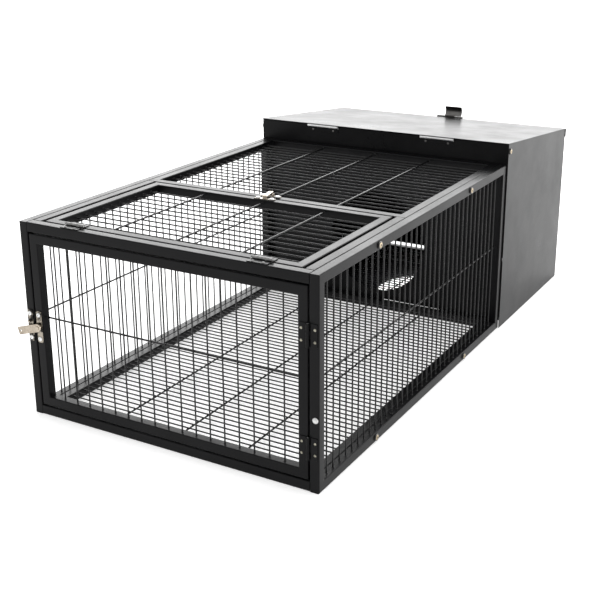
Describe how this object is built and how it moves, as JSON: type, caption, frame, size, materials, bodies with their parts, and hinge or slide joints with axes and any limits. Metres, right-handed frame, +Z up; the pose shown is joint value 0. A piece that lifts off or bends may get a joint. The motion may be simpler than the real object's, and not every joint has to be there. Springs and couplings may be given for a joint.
{
  "type": "wire rabbit cage",
  "caption": "Low wire run for a rabbit with a hinged front door and lid door, joined to a sheet-metal shelter with a round doorway and a hinged sloping roof.",
  "frame": {"origin": "centre of the bounding box in plan, at ground level", "axes": "+X to the right as seen from the front door, +Y from the front door towards the shelter, +Z up"},
  "size_m": [0.6468, 1.2799, 0.4285],
  "materials": {
    "black_powder_coat": "satin black powder coat on steel",
    "nickel_hardware": "nickel-plated steel",
    "brass_bolt": "yellow passivated"
  },
  "bodies": {
    "cage": {"side_panel_left": "black_powder_coat", "side_panel_right": "black_powder_coat", "floor_panel": "black_powder_coat", "top_front_rail": "black_powder_coat", "top_left_rail": "black_powder_coat", "top_right_rail": "black_powder_coat", "top_rear_panel": "black_powder_coat", "divider_sheet": "black_powder_coat", "shelter_left_sheet": "black_powder_coat", "shelter_right_sheet": "black_powder_coat", "shelter_back_sheet": "black_powder_coat", "shelter_floor_sheet": "black_powder_coat", "door_upper_fixed_leaf": "black_powder_coat", "door_lower_fixed_leaf": "black_powder_coat", "lid_left_fixed_leaf": "black_powder_coat", "lid_right_fixed_leaf": "black_powder_coat", "roof_left_fixed_leaf": "black_powder_coat", "roof_right_fixed_leaf": "black_powder_coat", "front_latch_keeper_plate": "nickel_hardware", "lid_latch_keeper_plate": "nickel_hardware", "post_button": "nickel_hardware", "bolt_left_top_front": "brass_bolt", "bolt_left_top_rear": "brass_bolt", "bolt_left_bottom_front": "brass_bolt", "bolt_left_bottom_rear": "brass_bolt", "bolt_right_top_front": "brass_bolt", "bolt_right_top_rear": "brass_bolt", "bolt_right_bottom_front": "brass_bolt", "bolt_right_bottom_rear": "brass_bolt", "bolt_left_shelter": "brass_bolt", "bolt_right_shelter": "brass_bolt"},
    "front_door": {"front_door_panel": "black_powder_coat", "door_upper_moving_leaf": "black_powder_coat", "door_lower_moving_leaf": "black_powder_coat", "front_latch_door_plate": "nickel_hardware"},
    "front_latch": {"front_latch_bar": "nickel_hardware"},
    "lid_door": {"lid_door_panel": "black_powder_coat", "lid_left_moving_leaf": "black_powder_coat", "lid_right_moving_leaf": "black_powder_coat", "lid_latch_door_plate": "nickel_hardware"},
    "lid_latch": {"lid_latch_bar": "nickel_hardware"},
    "roof": {"roof_sheet": "black_powder_coat", "roof_left_moving_leaf": "black_powder_coat", "roof_right_moving_leaf": "black_powder_coat", "roof_catch_leaf": "black_powder_coat"},
    "roof_catch": {"roof_catch_strap": "black_powder_coat"}
  },
  "joints": [
    {"name": "front_door_hinge", "type": "hinge", "parent": "cage", "child": "front_door", "pos_m": [0.29741, -0.63355, 0.19], "axis": [0, 0, 1], "range_deg": [0, 170]},
    {"name": "front_latch_pivot", "type": "hinge", "parent": "front_door", "child": "front_latch", "pos_m": [-0.27309, -0.63025, 0.18], "axis": [0, 1, 0], "range_deg": [-80, 17]},
    {"name": "lid_door_hinge", "type": "hinge", "parent": "cage", "child": "lid_door", "pos_m": [0.00691, -0.61075, 0.3833], "axis": [1, 0, 0], "range_deg": [0, 175]},
    {"name": "lid_latch_pivot", "type": "hinge", "parent": "lid_door", "child": "lid_latch", "pos_m": [0.00691, -0.28825, 0.38], "axis": [0, 0, 1], "range_deg": [-12, 80]},
    {"name": "roof_hinge", "type": "hinge", "parent": "cage", "child": "roof", "pos_m": [0.00691, 0.20675, 0.424], "axis": [1, 0, 0], "range_deg": [0, 100]},
    {"name": "roof_catch_pivot", "type": "hinge", "parent": "roof", "child": "roof_catch", "pos_m": [0.00891, 0.63625, 0.3887], "axis": [1, 0, 0], "range_deg": [-150, 0]}
  ]
}
